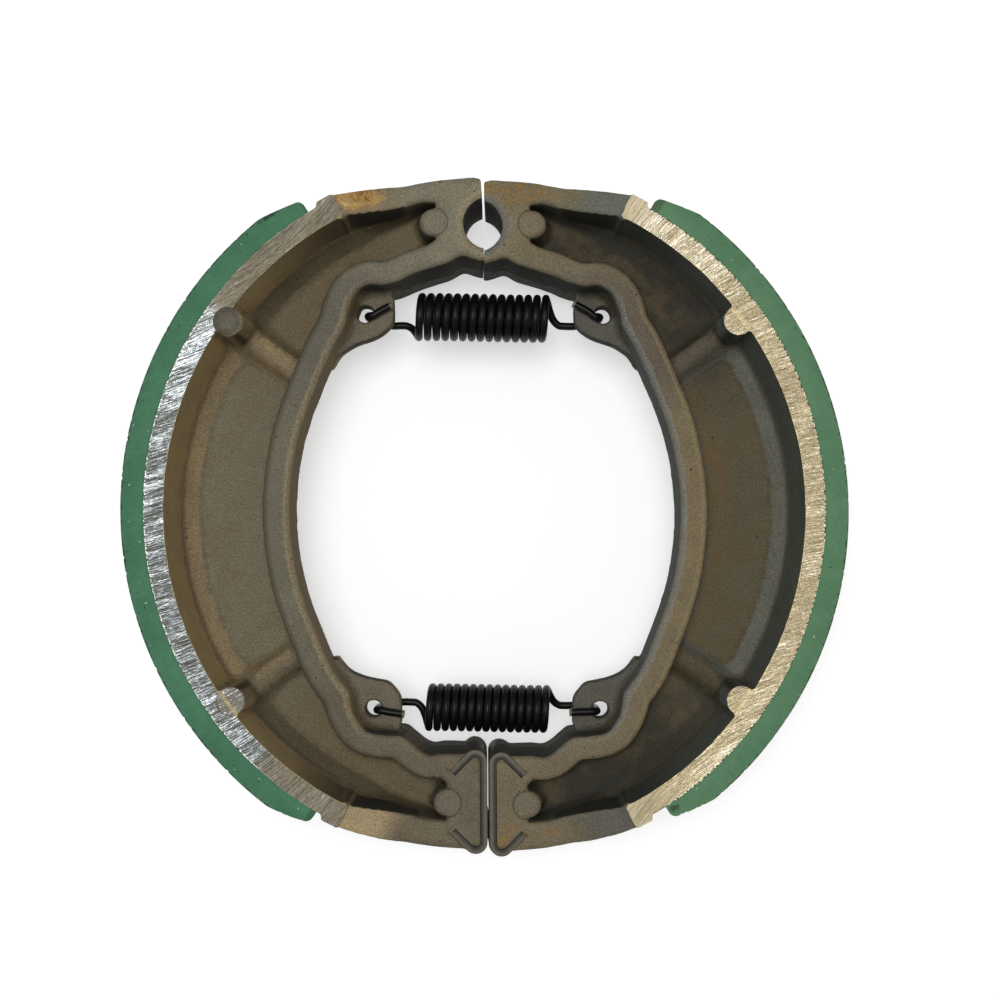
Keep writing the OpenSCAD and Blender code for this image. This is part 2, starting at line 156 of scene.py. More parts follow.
def plan_distance(segments, xs, ys):
    """Signed distance from every point of a plan grid to an outline, negative inside it."""
    a, b = segments[:, 0], segments[:, 1]
    run = b - a
    length2 = np.maximum((run ** 2).sum(1), 1e-9)
    out = np.empty((len(xs), len(ys)), np.float32)
    for i, x in enumerate(xs):
        dx, dy = x - a[:, 0], ys[:, None] - a[:, 1]
        t = np.clip((dx * run[:, 0] + dy * run[:, 1]) / length2, 0, 1)
        gap2 = (dx - t * run[:, 0]) ** 2 + (dy - t * run[:, 1]) ** 2
        spans = (a[:, 1] > ys[:, None]) != (b[:, 1] > ys[:, None])
        at = a[:, 0] + dy * run[:, 0] / np.where(run[:, 1] == 0, 1, run[:, 1])
        inside = (spans & (x < at)).sum(1) % 2 == 1
        out[i] = np.sqrt(gap2.min(1)) * np.where(inside, -1, 1)
    return out[:, :, None]


def arc_points(cx, cy, radius, start, stop, steps):
    """Points along an arc between two angles."""
    t = np.radians(np.linspace(start, stop, steps + 1))
    return np.stack([cx + radius * np.cos(t), cy + radius * np.sin(t)], 1)


def plate_line():
    """Centre line of the left cam plate in plan, from its inner lip round both bends."""
    bend = PLATE_BEND - PLATE_T / 2
    x = -PLATE_GAP - PLATE_T / 2 - bend
    inner = arc_points(x, -PLATE_TOP - PLATE_T / 2 - bend, bend, 135, 0, 18)
    outer = arc_points(x, PLATE_T / 2 + bend - PLATE_END, bend, 0, -135, 18)
    lip = PLATE_LIP * math.sqrt(0.5)
    return np.array([inner[0] - (lip, lip), *inner, *outer, outer[-1] - (lip, -lip)])


def line_distance(line, xs, ys):
    """Distance from every point of a plan grid to an open line."""
    x = xs[:, None]
    best = np.full((len(xs), len(ys)), 1e6, np.float32)
    for a, b in zip(line[:-1], line[1:]):
        run = b - a
        t = np.clip(((x - a[0]) * run[0] + (ys - a[1]) * run[1]) / (run @ run), 0, 1)
        best = np.minimum(best, np.hypot(x - a[0] - t * run[0], ys - a[1] - t * run[1]))
    return best[:, :, None]


def casting_outlines(xs, ys, half):
    """Outlines of one half of the left casting at its flange and its web, with the cuts closed."""
    x, y = xs[:, None, None], ys[:, None]
    bridge = join(meet(-1.25 - x, x - 1.4, y - ANCHOR_Y - 7.25, ANCHOR_Y - 6.62 - y),
                  meet(-2.6 - x, x - 1.4, y - 59.3, 57 - y))
    core = meet(x + 0.83, -7.2 - x, y + 43.9, -60.0 - y)
    slot = line_distance(plate_line(), xs, ys) - PLATE_T / 2
    closed = join(bridge, core, slot)
    flat, mid = (plan_distance(section("left_shoe", MID_Z + level * half), xs, ys)
                 for level in (FLANGE_LEVEL, WEB_LEVEL))
    flat, mid = np.minimum(flat, closed), np.minimum(mid, closed)
    for hole in (UPPER_HOLE, LOWER_HOLE):
        mid = np.minimum(mid, np.hypot(x - hole[0], y - hole[1]) - HOLE_R - 0.8)
    if half < 0:
        # The flange's back half stands back from its front half all the way between the ears
        edge = section("left_shoe", MID_Z + FLANGE_LEVEL)
        at_x, at_y = edge.mean(1).T
        hub_side = (np.hypot(at_x - FLANGE_X, at_y) < FLANGE_R) & (np.abs(at_y) < FLANGE_STEP_Y)
        flat = np.maximum(flat, FLANGE_STEP - np.abs(plan_distance(edge[hub_side], xs, ys)))
    return flat, mid


def casting_field(xs, ys, zs, seed, low_pad):
    """Distance field of the left casting before its machined cuts, with draft and fillets."""
    x, y, z = xs[:, None, None], ys[:, None], zs - MID_Z
    h = np.abs(z)
    r = np.hypot(x - ARC_X, y)
    a = np.abs(np.degrees(np.arctan2(y, ARC_X - x)))
    past_end = r * np.sin(np.radians(a - TABLE_A))
    flat, mid = (np.where(z > 0, *both) for both in zip(FRONT_OUTLINES, BACK_OUTLINES))
    # Walls grow towards the parting line of the mould, less where a face is machined
    cast_wall = smoothstep(-0.8, -2.2, x)
    growth = (0.25 + 0.3 * smoothstep(39, 44, np.abs(y))) * cast_wall * (1 - h / BODY_HALF)
    ragged = 0.6 + 0.4 * ripple(x, y, 0 * x, 3, seed)
    flash = FLASH * cast_wall * np.exp(-(h / 0.35) ** 2) * ragged
    within_table = 53 + 20 * smoothstep(2, 5, past_end)
    # The flange is cast a little thicker towards the pocket
    q = np.hypot(x - FLANGE_X, y)
    pocket_side = np.clip((q - FLANGE_R) / 0.8, 0, 1) * smoothstep(63, 60, q)
    flat = flat - FLANGE_MORE * pocket_side * smoothstep(41, 33, np.abs(y))
    body = np.maximum(flat, r - within_table) - growth - flash
    body = rounded_meet(body, h - BODY_HALF, FLANGE_ROUND)
    # The web stops short of the walls that it shares with the body: no fillet there
    shared = smoothstep(1.5, 0.3, np.abs(mid - flat)) * smoothstep(54, 52, r - 6 * (a > TABLE_A))
    web = mid + 1.5 * shared - 0.12 * np.exp(-(h / 0.4) ** 2)
    web = rounded_meet(web, h - WEB_HALF, WEB_ROUND)
    # Table with its slope and stop shoulders, and the slope at the foot of its wall
    inner = TABLE_IN - TABLE_DRAFT * (1 - h / TABLE_HALF)
    ring = meet(r - TABLE_R, inner - r, past_end)
    start = r * np.sin(np.radians(a - TABLE_A + STOP_A))
    ring = fillet_union(ring, meet(r - STOP_R, TABLE_R - 2 - r, past_end, -start), 0.3)
    # Ribs with sloping sides; the floor's corners beside them are wide
    across = np.abs(r * np.sin(np.radians(a - RIB_A)))
    from_corner = fillet_union(FLOOR_R - r, across - 2.4, FLOOR_CORNER)
    from_corner = from_corner + 0.2 * np.clip(a - 64, 0, 30)
    foot = meet((h - WEB_HALF + 0.38 * from_corner) / 1.07, 49 - r, r - TABLE_R + 2, a - 79)
    rib = rounded_meet((across - RIB_HALF + 0.6 - 0.55 * (RIB_TOP - h)) * 0.88, h - RIB_TOP, 1.1)
    rib = meet(rib, 41 - r, r - 58)
    ring = fillet_union(ring, rib, RIB_FILLET)
    cast = fillet_union(fillet_union(web, foot, 0.3), ring, TABLE_FILLET)
    cast = fillet_union(cast, body, BODY_FILLET)
    # Ramps beyond the table's ends
    slope = (TABLE_HALF - RAMP_LAP - BODY_HALF) / RAMP_L
    ramp = (h - (TABLE_HALF - RAMP_LAP) + slope * past_end) / math.hypot(1, slope)
    band = meet(flat - 0.25 * (1 - h / TABLE_HALF), 54.5 - r, -1.0 - past_end)
    cast = np.minimum(cast, rounded_meet(band, ramp, 0.5))
    # Ejector pads at the ribs
    for side in (-1, 1):
        pad = np.hypot(x - ARC_X + RIB_PAD[0], y - side * RIB_PAD[1])
        pad = pad - PAD_R - 0.2 * (1 - h / TABLE_HALF)
        cast = fillet_union(cast, pad, 0.5)
        if low_pad and side > 0:
            cast = np.maximum(cast, -rounded_meet(pad - 0.1, TABLE_HALF - 0.35 - z, 0.1))
    cast = cast + 0.03 * ripple(x, y, z, 7, seed + 1) + 0.02 * ripple(x, y, z, 2.2, seed + 2)
    return np.maximum(cast, h - TABLE_HALF - 0.7).astype(np.float32)


def surface(field, xs, ys, zs):
    """Mesh of a field's zero level: one point in each cell that it crosses, joined to the next."""
    inside = field < 0
    corners = [(i, j, k) for i in (0, 1) for j in (0, 1) for k in (0, 1)]
    nx, ny, nz = (n - 1 for n in field.shape)
    count = sum(inside[i:i + nx, j:j + ny, k:k + nz].astype(np.int8) for i, j, k in corners)
    cells = np.argwhere((count > 0) & (count < 8))
    number = np.full((nx, ny, nz), -1, np.int32)
    number[tuple(cells.T)] = np.arange(len(cells))
    total, hits = np.zeros((len(cells), 3)), np.zeros(len(cells))
    for axis in range(3):
        for c in corners:
            if c[axis]:
                continue
            a = cells + c
            b = a.copy()
            b[:, axis] += 1
            fa, fb = field[tuple(a.T)], field[tuple(b.T)]
            cut = (fa < 0) != (fb < 0)
            t = np.where(cut, fa / np.where(fa == fb, 1, fa - fb), 0)
            at = np.array(c, float) + t[:, None] * np.eye(3)[axis]
            total += at * cut[:, None]
            hits += cut
    origin = np.array([xs[0], ys[0], zs[0]])
    points = origin + STEP * (cells + total / hits[:, None])
    quads = []
    for axis in range(3):
        u, v = (axis + 1) % 3, (axis + 2) % 3
        low = [slice(1, -1)] * 3
        low[axis] = slice(0, -1)
        high = list(low)
        high[axis] = slice(1, None)
        fa, fb = inside[tuple(low)], inside[tuple(high)]
        for sign in (False, True):
            at = np.argwhere((fa != fb) & (fa == sign))
            at[:, u] += 1
            at[:, v] += 1
            ring = []
            for du, dv in ((0, 0), (-1, 0), (-1, -1), (0, -1)):
                q = at.copy()
                q[:, u] += du
                q[:, v] += dv
                ring.append(number[tuple(q.T)])
            quads.append(np.stack(ring if sign else ring[::-1], 1))
    return points, np.concatenate(quads)


def add_object(name, data):
    """A new object in the scene."""
    obj = bpy.data.objects.new(name, data)
    bpy.context.scene.collection.objects.link(obj)
    return obj


def mesh_object(name, points, faces):
    """A new piece from points in millimetres and faces, as rows of one length or a list."""
    mesh = bpy.data.meshes.new(name)
    faces = faces if isinstance(faces, list) else faces.tolist()
    mesh.from_pydata(np.asarray(points, float) * MM, [], faces)
    return add_object(name, mesh)


def apply_modifiers(obj):
    """Make a piece's modifiers part of its mesh."""
    graph = bpy.context.evaluated_depsgraph_get()
    held = bpy.data.meshes.new_from_object(obj.evaluated_get(graph))
    old, obj.data = obj.data, held
    obj.modifiers.clear()
    bpy.data.meshes.remove(old)
    held.name = obj.name


def cut_away(obj, cutters):
    """Cut closed meshes out of a piece, one after another."""
    for cutter in cutters:
        tool = obj.modifiers.new("cut", "BOOLEAN")
        tool.object, tool.operation, tool.solver = cutter, "DIFFERENCE", "MANIFOLD"
        apply_modifiers(obj)
        bpy.data.objects.remove(cutter)


def loft(name, rings):
    """Closed form through rings with the same number of points, capped at the first and last."""
    rings = np.asarray(rings, float)
    n, m = rings.shape[:2]
    faces = [[i * m + k, i * m + (k + 1) % m, (i + 1) * m + (k + 1) % m, (i + 1) * m + k]
             for i in range(n - 1) for k in range(m)]
    caps = [list(range(m))[::-1], [(n - 1) * m + k for k in range(m)]]
    return mesh_object(name, rings.reshape(-1, 3), faces + caps)


def lathe(name, x, y, profile, sides=96):
    """Turned form about an upright axis, from a list of radius and height, bottom to top."""
    turn = np.linspace(0, 2 * math.pi, sides, endpoint=False)
    return loft(name, [[(x + radius * math.cos(t), y + radius * math.sin(t), height)
                        for t in turn] for radius, height in profile])


def prism(name, outline, low, high):
    """Upright form over an outline that runs counterclockwise."""
    return loft(name, [[(*p, height) for p in outline] for height in (low, high)])


def smooth(obj, sharp):
    """Shade a piece smooth, apart from edges that turn by more than an angle."""
    obj.data.shade_smooth()
    obj.data.set_sharp_from_angle(angle=math.radians(sharp))
    return obj


def beside(line, d):
    """A line moved sideways by d, to the left of its travel."""
    way = np.gradient(line, axis=0)
    way /= np.linalg.norm(way, axis=1)[:, None]
    return line + d * np.stack([-way[:, 1], way[:, 0]], 1)


def strip(name, line, half, low, high):
    """Upright strip of a thickness that follows a line."""
    sides = zip(beside(line, half), beside(line, -half))
    return loft(name, [[(*a, low), (*a, high), (*b, high), (*b, low)] for a, b in sides])


def lean(obj, side):
    """Tilt an upright form across the set: the gap between the shoes isn't quite square."""
    for vertex in obj.data.vertices:
        vertex.co.x += side * GAP_LEAN * (vertex.co.z - MID_Z * MM)
    return obj


def edit(obj, change):
    """Change a piece's mesh by a function that works on it."""
    bm = bmesh.new()
    bm.from_mesh(obj.data)
    change(bm)
    bm.to_mesh(obj.data)
    bm.free()
    return obj


def outward(obj):
    """Turn a piece's faces to point out of it."""
    return edit(obj, lambda bm: bmesh.ops.recalc_face_normals(bm, faces=bm.faces))


def mirrored(obj):
    """Make a left piece a right one."""
    def flip(bm):
        bmesh.ops.scale(bm, vec=(-1, 1, 1), verts=bm.verts)
        bmesh.ops.reverse_faces(bm, faces=bm.faces)
    return edit(obj, flip)


def machined(obj, low, high):
    """Mill a casting flat at two heights and leave the cut faces filled."""
    def mill(bm):
        for height, up in ((low, -1), (high, 1)):
            every = bm.verts[:] + bm.edges[:] + bm.faces[:]
            cut = bmesh.ops.bisect_plane(bm, geom=every, plane_co=(0, 0, height * MM),
                                         plane_no=(0, 0, up), clear_outer=True, dist=1e-7)
            rim = [e for e in cut["geom_cut"] if isinstance(e, bmesh.types.BMEdge)]
            bmesh.ops.holes_fill(bm, edges=rim, sides=0)
    return edit(obj, mill)


def sample(field, points):
    """Values of a field of the castings' grid at points in millimetres."""
    at = (points - (GRID_X[0], GRID_Y[0], GRID_Z[0])) / STEP
    at = np.clip(at, 0, np.array(field.shape) - 1.001)
    low = at.astype(int)
    t = at - low
    total = 0
    for i, j, k in ((i, j, k) for i in (0, 1) for j in (0, 1) for k in (0, 1)):
        share = abs(1 - i - t[:, 0]) * abs(1 - j - t[:, 1]) * abs(1 - k - t[:, 2])
        total = total + share * field[low[:, 0] + i, low[:, 1] + j, low[:, 2] + k]
    return total


def note_form(obj, field):
    """Keep on each point how deep it lies in a hollow, and how sharply the form turns there."""
    mesh = obj.data
    co, normal = np.empty(len(mesh.vertices) * 3), np.empty(len(mesh.vertices) * 3)
    mesh.vertices.foreach_get("co", co)
    mesh.vertices.foreach_get("normal", normal)
    co, normal = co.reshape(-1, 3) / MM, normal.reshape(-1, 3)
    hollow = 0
    for reach, weight in ((1.0, 0.35), (2.2, 0.35), (4.5, 0.3)):
        hollow = hollow + weight * np.clip(1 - sample(field, co + normal * reach) / reach, 0, 1)
    turn = -6 * sample(field, co)
    for axis in np.concatenate([np.eye(3), -np.eye(3)]):
        turn = turn + sample(field, co + 0.8 * axis)
    for label, values in (("hollow", hollow), ("turn", np.clip(turn / 0.64, -1, 1))):
        held = mesh.attributes.new(label, "FLOAT", "POINT")
        held.data.foreach_set("value", values.astype(np.float32))


def make_shoe(name, side, seed):
    """One casting: cast form from its distance field, then the machined faces, bores and slots."""
    field = casting_field(GRID_X, GRID_Y, GRID_Z, seed, side < 0)
    points, quads = surface(field, GRID_X, GRID_Y, GRID_Z)
    shoe = mesh_object(name, points, quads)
    thin = shoe.modifiers.new("thin", "DECIMATE")
    thin.ratio = min(1, THINNED / len(quads))
    apply_modifiers(shoe)
    machined(shoe, 0, 2 * MID_Z)
    low, high = MID_Z - BODY_HALF, MID_Z + BODY_HALF
    mouth = SEAT_R + SEAT_BEVEL + 1.5 * SEAT_BEVEL / SEAT_DEPTH
    seat = lathe("seat", SEAT_X, ANCHOR_Y, [(mouth, low - 1.5), (SEAT_R, low + SEAT_DEPTH),
                                            (SEAT_R, high - SEAT_DEPTH), (mouth, high + 1.5)])
    bore = [(HOLE_R + 2.3, MID_Z - WEB_HALF - 2), (HOLE_R, MID_Z - WEB_HALF + 0.3),
            (HOLE_R, MID_Z + WEB_HALF - 0.3), (HOLE_R + 2.3, MID_Z + WEB_HALF + 2)]
    holes = [lathe("hole", *at, bore, 48) for at in (UPPER_HOLE, LOWER_HOLE)]
    slot = lean(outward(strip("slot", plate_line(), PLATE_T / 2 + 0.05, low - 2, high + 2)), -side)
    heel = prism("heel", [(-HEEL_GAP, 40), (4, 40), (4, 54), (-HEEL_GAP, 54)], low - 2, high + 2)
    nose = prism("nose", [(-NOSE_GAP, ANCHOR_Y), (4, ANCHOR_Y), (4, 62), (-1.5, 62),
                          (-1.0, 59.25), (-NOSE_GAP - 0.32, 59.05), (-NOSE_GAP - 0.08, 58.8),
                          (-NOSE_GAP, 58.5)], low - 2, high + 2)
    cut_away(shoe, [seat, lean(heel, -side), nose, slot, *holes])
    note_form(shoe, field)
    if side > 0:
        mirrored(shoe)
    shoe.data.materials.clear()
    return smooth(shoe, 38)


GRID_X = np.arange(-62.6, 2.6, STEP)
GRID_Y = np.arange(-62.2, 61.4, STEP)
GRID_Z = np.arange(MID_Z - 15.4, MID_Z + 15.5, STEP)
FRONT_OUTLINES, BACK_OUTLINES = (casting_outlines(GRID_X, GRID_Y, half) for half in (1, -1))


def through(points, steps):
    """Smooth line through every given point."""
    p = np.asarray(points, float)
    p = np.concatenate([p[:1], p, p[-1:]])
    out = []
    for a, b, c, d in zip(p, p[1:], p[2:], p[3:]):
        for t in np.arange(steps) / steps:
            out.append(0.5 * (2 * b + (c - a) * t + (2 * a - 5 * b + 4 * c - d) * t ** 2
                              + (3 * b - a - 3 * c + d) * t ** 3))
    return np.array(out + [p[-2]])


def hook(hole, leg, tip, run, coil_x, axis_y, turn):
    """Wire from a cut tip, through its hole and behind the ear, to the first turn of the coil."""
    level, bend = WEB_HALF + WIRE_R + HOOK_ROOM, 1.0
    near, coil_y = leg[0] + bend, axis_y + turn * COIL_R
    loop = np.concatenate([arc_points(near, level - bend, bend, 90, 180, 8),
                           arc_points(near, bend - level, bend, 180, 270, 8)])
    line = [(hole[0] + tip[0], hole[1] + tip[1], level),
            (hole[0] + near + 1.2, hole[1] + leg[1] + 0.4 * (tip[1] - leg[1]), level)]
    line += [(hole[0] + p[0], hole[1] + leg[1], p[1]) for p in loop]
    run_y = axis_y + run
    way = [(hole[0] + near + 1, hole[1] + leg[1] + 0.3 * (run_y - hole[1] - leg[1]), -level),
           (hole[0] + near + 0.6 * (coil_x - 3.4 - hole[0] - near), run_y, -level)]
    way += [(coil_x - dx, coil_y + (run_y - coil_y) * to_run, -level * to_level)
            for dx, to_run, to_level in LEAD_IN]
    return np.concatenate([line, through(way + [(coil_x - 0.02, coil_y, -0.3)], 6)])


def spring_path(hole, leg, tips, runs, middle, axis_y, pitch, turns):
    """Centre line of a return spring: hook, coil and mirrored hook."""
    half = pitch * (turns + 0.5) / 2
    t = np.arange(0, (turns + 0.5) * 36 + 1) / 36
    coil = np.stack([middle - half + pitch * t, axis_y - COIL_R * np.cos(2 * math.pi * t),
                     COIL_R * np.sin(2 * math.pi * t)], 1)
    left = hook(hole, leg, tips[0], runs[0], middle - half, axis_y, -1)
    right = hook(hole, leg, tips[1], runs[1], -middle - half, axis_y, 1)[::-1] * (-1, 1, 1)
    path = np.concatenate([left, coil, right]) + (0, 0, MID_Z)
    path[:, 1] -= DROP * smoothstep(-12, 12, path[:, 0])
    return path


def wire_tree():
    """Geometry nodes that sweep a round wire along a line."""
    tree = bpy.data.node_groups.new("wound_wire", "GeometryNodeTree")
    for label, way, kind, value in (
            ("Line", "INPUT", "Geometry", None), ("Wire radius", "INPUT", "Float", WIRE_R * MM),
            ("Sides", "INPUT", "Int", 16), ("Finish", "INPUT", "Material", None),
            ("Wire", "OUTPUT", "Geometry", None)):
        socket = tree.interface.new_socket(label, in_out=way, socket_type="NodeSocket" + kind)
        if value is not None:
            socket.default_value = value
    given, done, *chain = (tree.nodes.new(kind) for kind in (
        "NodeGroupInput", "NodeGroupOutput", "GeometryNodeMeshToCurve", "GeometryNodeCurveToMesh",
        "GeometryNodeSetShadeSmooth", "GeometryNodeRealizeInstances", "GeometryNodeSetMaterial"))
    ring = tree.nodes.new("GeometryNodeCurvePrimitiveCircle")
    sweep, finish = chain[1], chain[-1]
    sweep.inputs["Fill Caps"].default_value = True
    links = [(a.outputs[0], b.inputs[0]) for a, b in zip([given, *chain], [*chain, done])]
    links += [(given.outputs["Wire radius"], ring.inputs["Radius"]),
              (given.outputs["Sides"], ring.inputs["Resolution"]),
              (ring.outputs[0], sweep.inputs["Profile Curve"]),
              (given.outputs["Finish"], finish.inputs["Material"])]
    for out, into in links:
        tree.links.new(out, into)
    return tree


def make_spring(name, path, finish):
    """Return spring swept along its centre line."""
    line = bpy.data.meshes.new(name)
    line.from_pydata(path * MM, [(i, i + 1) for i in range(len(path) - 1)], [])
    spring = add_object(name, line)
    wound = spring.modifiers.new("wound", "NODES")
    wound.node_group = wire_tree()
    for item in wound.node_group.interface.items_tree:
        if item.name == "Finish":
            wound[item.identifier] = finish
    apply_modifiers(spring)
    return smooth(spring, 60)


def make_lining(name, side, seed):
    """Friction lining with bevelled ends and slightly broken edges."""
    rng = np.random.default_rng(seed)
    key = "left" if side < 0 else "right"
    half_angle, slip = LINING_A[key], LINING_SLIP[key]
    # Section from the front edge to the back: share of thickness, height from the middle
    thick = LINING_R - TABLE_R
    steps_r, steps_z, ease = 5, 21, 0.3
    side_face = [(k / steps_r, LINING_HALF) for k in range(steps_r + 1)]
    drum_face = [(1, (LINING_HALF - ease) * level) for level in np.linspace(1, -1, steps_z)]
    back_face = [(1 - k / steps_r, -LINING_HALF) for k in range(steps_r + 1)]
    share, height = np.array(side_face + drum_face + back_face).T
    tip = half_angle - LINING_WORN_A * (1 - np.sin(np.radians(np.linspace(0, 90, 8))))
    angles = np.concatenate([-tip[::-1], np.linspace(-tip[0] + 0.2, tip[0] - 0.2, 331), tip])
    a = angles[:, None]
    end = np.clip((np.abs(a) - (half_angle - LINING_BEVEL_A)) / LINING_BEVEL_A, 0, 1)
    # The outer corner at each end is worn round
    from_end = np.clip(1 - (half_angle - np.abs(a)) / LINING_WORN_A, 0, 1)
    drop = LINING_BEVEL * end * (1 + 0.1 * ripple(a, 0 * a, 0 * a, 9, seed))
    drop = drop + LINING_WORN * (1 - np.sqrt(1 - from_end ** 2))
    radius = TABLE_R + 0.02 + (thick - drop) * share
    z = height + 0 * a
    # Chips along the two long edges of the rubbing face, and uneven moulded faces
    edge = (share > 0.99) & (np.abs(height) > LINING_HALF - ease - 0.01)
    chip = rng.normal(0.2, 1, a.shape)
    chip = np.clip(chip * np.clip(rng.normal(-0.6, 1, a.shape), 0, 2), 0, 1.5)
    radius = radius - np.where(edge, 0.1 * chip + 0.05, 0)
    z = z - np.where(edge, 0.05 * chip * np.sign(height), 0)
    angle = np.radians(a - slip)
    x = side * (radius * np.cos(angle) - ARC_X)
    y = radius * np.sin(angle)
    return smooth(outward(loft(name, np.stack([x, y, z + MID_Z], 2)[::side])), 35)


def make_plate(name, side):
    """Bent steel strip with rolled edges that stand a little proud of the casting."""
    half = BODY_HALF + 0.08
    line = plate_line() * (-side, 1)
    plate = lean(outward(strip(name, line, PLATE_T / 2, MID_Z - half, MID_Z + half)), 1)
    # Place across the thickness, from 0 on the hidden face to 1 on the cam's face
    across = plate.data.attributes.new("across", "FLOAT", "POINT")
    share = [1.0, 1.0, 0.0, 0.0]
    across.data.foreach_set("value", np.tile(share[::-side], len(line)))
    edge = plate.modifiers.new("edge", "BEVEL")
    edge.width, edge.segments = 0.2 * MM, 3
    edge.limit_method, edge.angle_limit = "ANGLE", math.radians(50)
    apply_modifiers(plate)
    return smooth(plate, 50)


def arithmetic(operation, turned=False):
    """An operator of a field that adds one Math node, with its values turned round if asked."""
    def operator(self, *others):
        values = (*others, self) if turned else (self, *others)
        return self.paint.node("ShaderNodeMath", {"operation": operation}, dict(enumerate(values)))
    return operator


class Field:
    """A number or colour on its way through a material, on which arithmetic adds Math nodes."""

    def __init__(self, paint, socket):
        self.paint, self.socket = paint, socket

    __add__ = __radd__ = arithmetic("ADD")
    __mul__ = __rmul__ = arithmetic("MULTIPLY")
    __sub__, __rsub__ = arithmetic("SUBTRACT"), arithmetic("SUBTRACT", turned=True)
    __truediv__, __pow__ = arithmetic("DIVIDE"), arithmetic("POWER")
    __gt__, __abs__ = arithmetic("GREATER_THAN"), arithmetic("ABSOLUTE")
    most, arctan2 = arithmetic("MAXIMUM"), arithmetic("ARCTAN2")

    def hypot(self, other):
        return (self ** 2 + other ** 2) ** 0.5

    def rise(self, low, high):
        """From 0 to 1 as the value goes from low to high, or falls where low is the greater."""
        ends = (low, high, 0, 1) if low < high else (high, low, 1, 0)
        return self.paint.node("ShaderNodeMapRange", {"interpolation_type": "SMOOTHSTEP"},
                               dict(enumerate((self, *ends))))


class Paint:
    """A material under construction, with its tones by name and a seed for its noises."""

    def __init__(self, name, tones={}, seed=0):
        self.material = bpy.data.materials.new(name)
        self.material.use_nodes = True
        self.tree = self.material.node_tree
        self.shader = self.tree.nodes["Principled BSDF"]
        self.tones = {key: rgb(*tone) for key, tone in tones.items() if np.size(tone) == 3}
        self.seed = seed
        place = self.node("ShaderNodeTexCoord", out="Object")
        self.x, self.y, self.z = (axis / MM for axis in self.split(place))

    def node(self, kind, settings={}, into={}, out=0):
        """A node with its settings made first, then its inputs; returns one of its outputs."""
        node = self.tree.nodes.new(kind)
        for key, value in settings.items():
            setattr(node, key, value)
        self.feed(node, into)
        return Field(self, node.outputs[out])

    def feed(self, node, into):
        for key, value in into.items():
            if isinstance(value, Field):
                self.tree.links.new(value.socket, node.inputs[key])
            else:
                node.inputs[key].default_value = value

    def split(self, vector):
        return [self.node("ShaderNodeSeparateXYZ", into={0: vector}, out=k) for k in range(3)]

    def vector(self, x, y, z):
        return self.node("ShaderNodeCombineXYZ", into={0: x, 1: y, 2: z})

    def noted(self, label):
        """Number kept on the piece's points."""
        return self.node("ShaderNodeAttribute", {"attribute_name": label}, out="Fac")

    def noise(self, size, detail, rough, shift=0, at=None):
        """Noise with features of a size in millimetres, on the piece or at a given place."""
        place = self.vector(self.x + (self.seed + shift), self.y, self.z) if at is None else at
        into = {"Vector": place, "Scale": 1 / size, "Detail": detail, "Roughness": rough}
        return self.node("ShaderNodeTexNoise", {"noise_dimensions": "3D"}, into)

    def mix(self, share, a, b, blend="MIX"):
        """Colour a going over to colour b, each a field, a colour or the name of a tone."""
        a, b = (self.tones[c] if isinstance(c, str) else c for c in (a, b))
        a, b = ((*c, 1) if isinstance(c, tuple) else c for c in (a, b))
        return self.node("ShaderNodeMix", {"data_type": "RGBA", "blend_type": blend},
                         {0: share, 6: a, 7: b}, out=2)

    def times(self, colour, by):
        return self.mix(1, colour, by, "MULTIPLY")

    def bump(self, height, depth):
        """Relief of a depth in millimetres where the height field goes from 0 to 1."""
        return self.node("ShaderNodeBump", into={"Height": height, "Distance": depth * MM})

    def finish(self, **into):
        self.feed(self.shader, {key.replace("_", " "): value for key, value in into.items()})
        return self.material


def rgb(red, green, blue):
    """Colour as it looks on a screen, 0 to 255, given as light."""
    shares = (red / 255, green / 255, blue / 255)
    return tuple(c / 12.92 if c < 0.0405 else ((c + 0.055) / 1.055) ** 2.4 for c in shares)


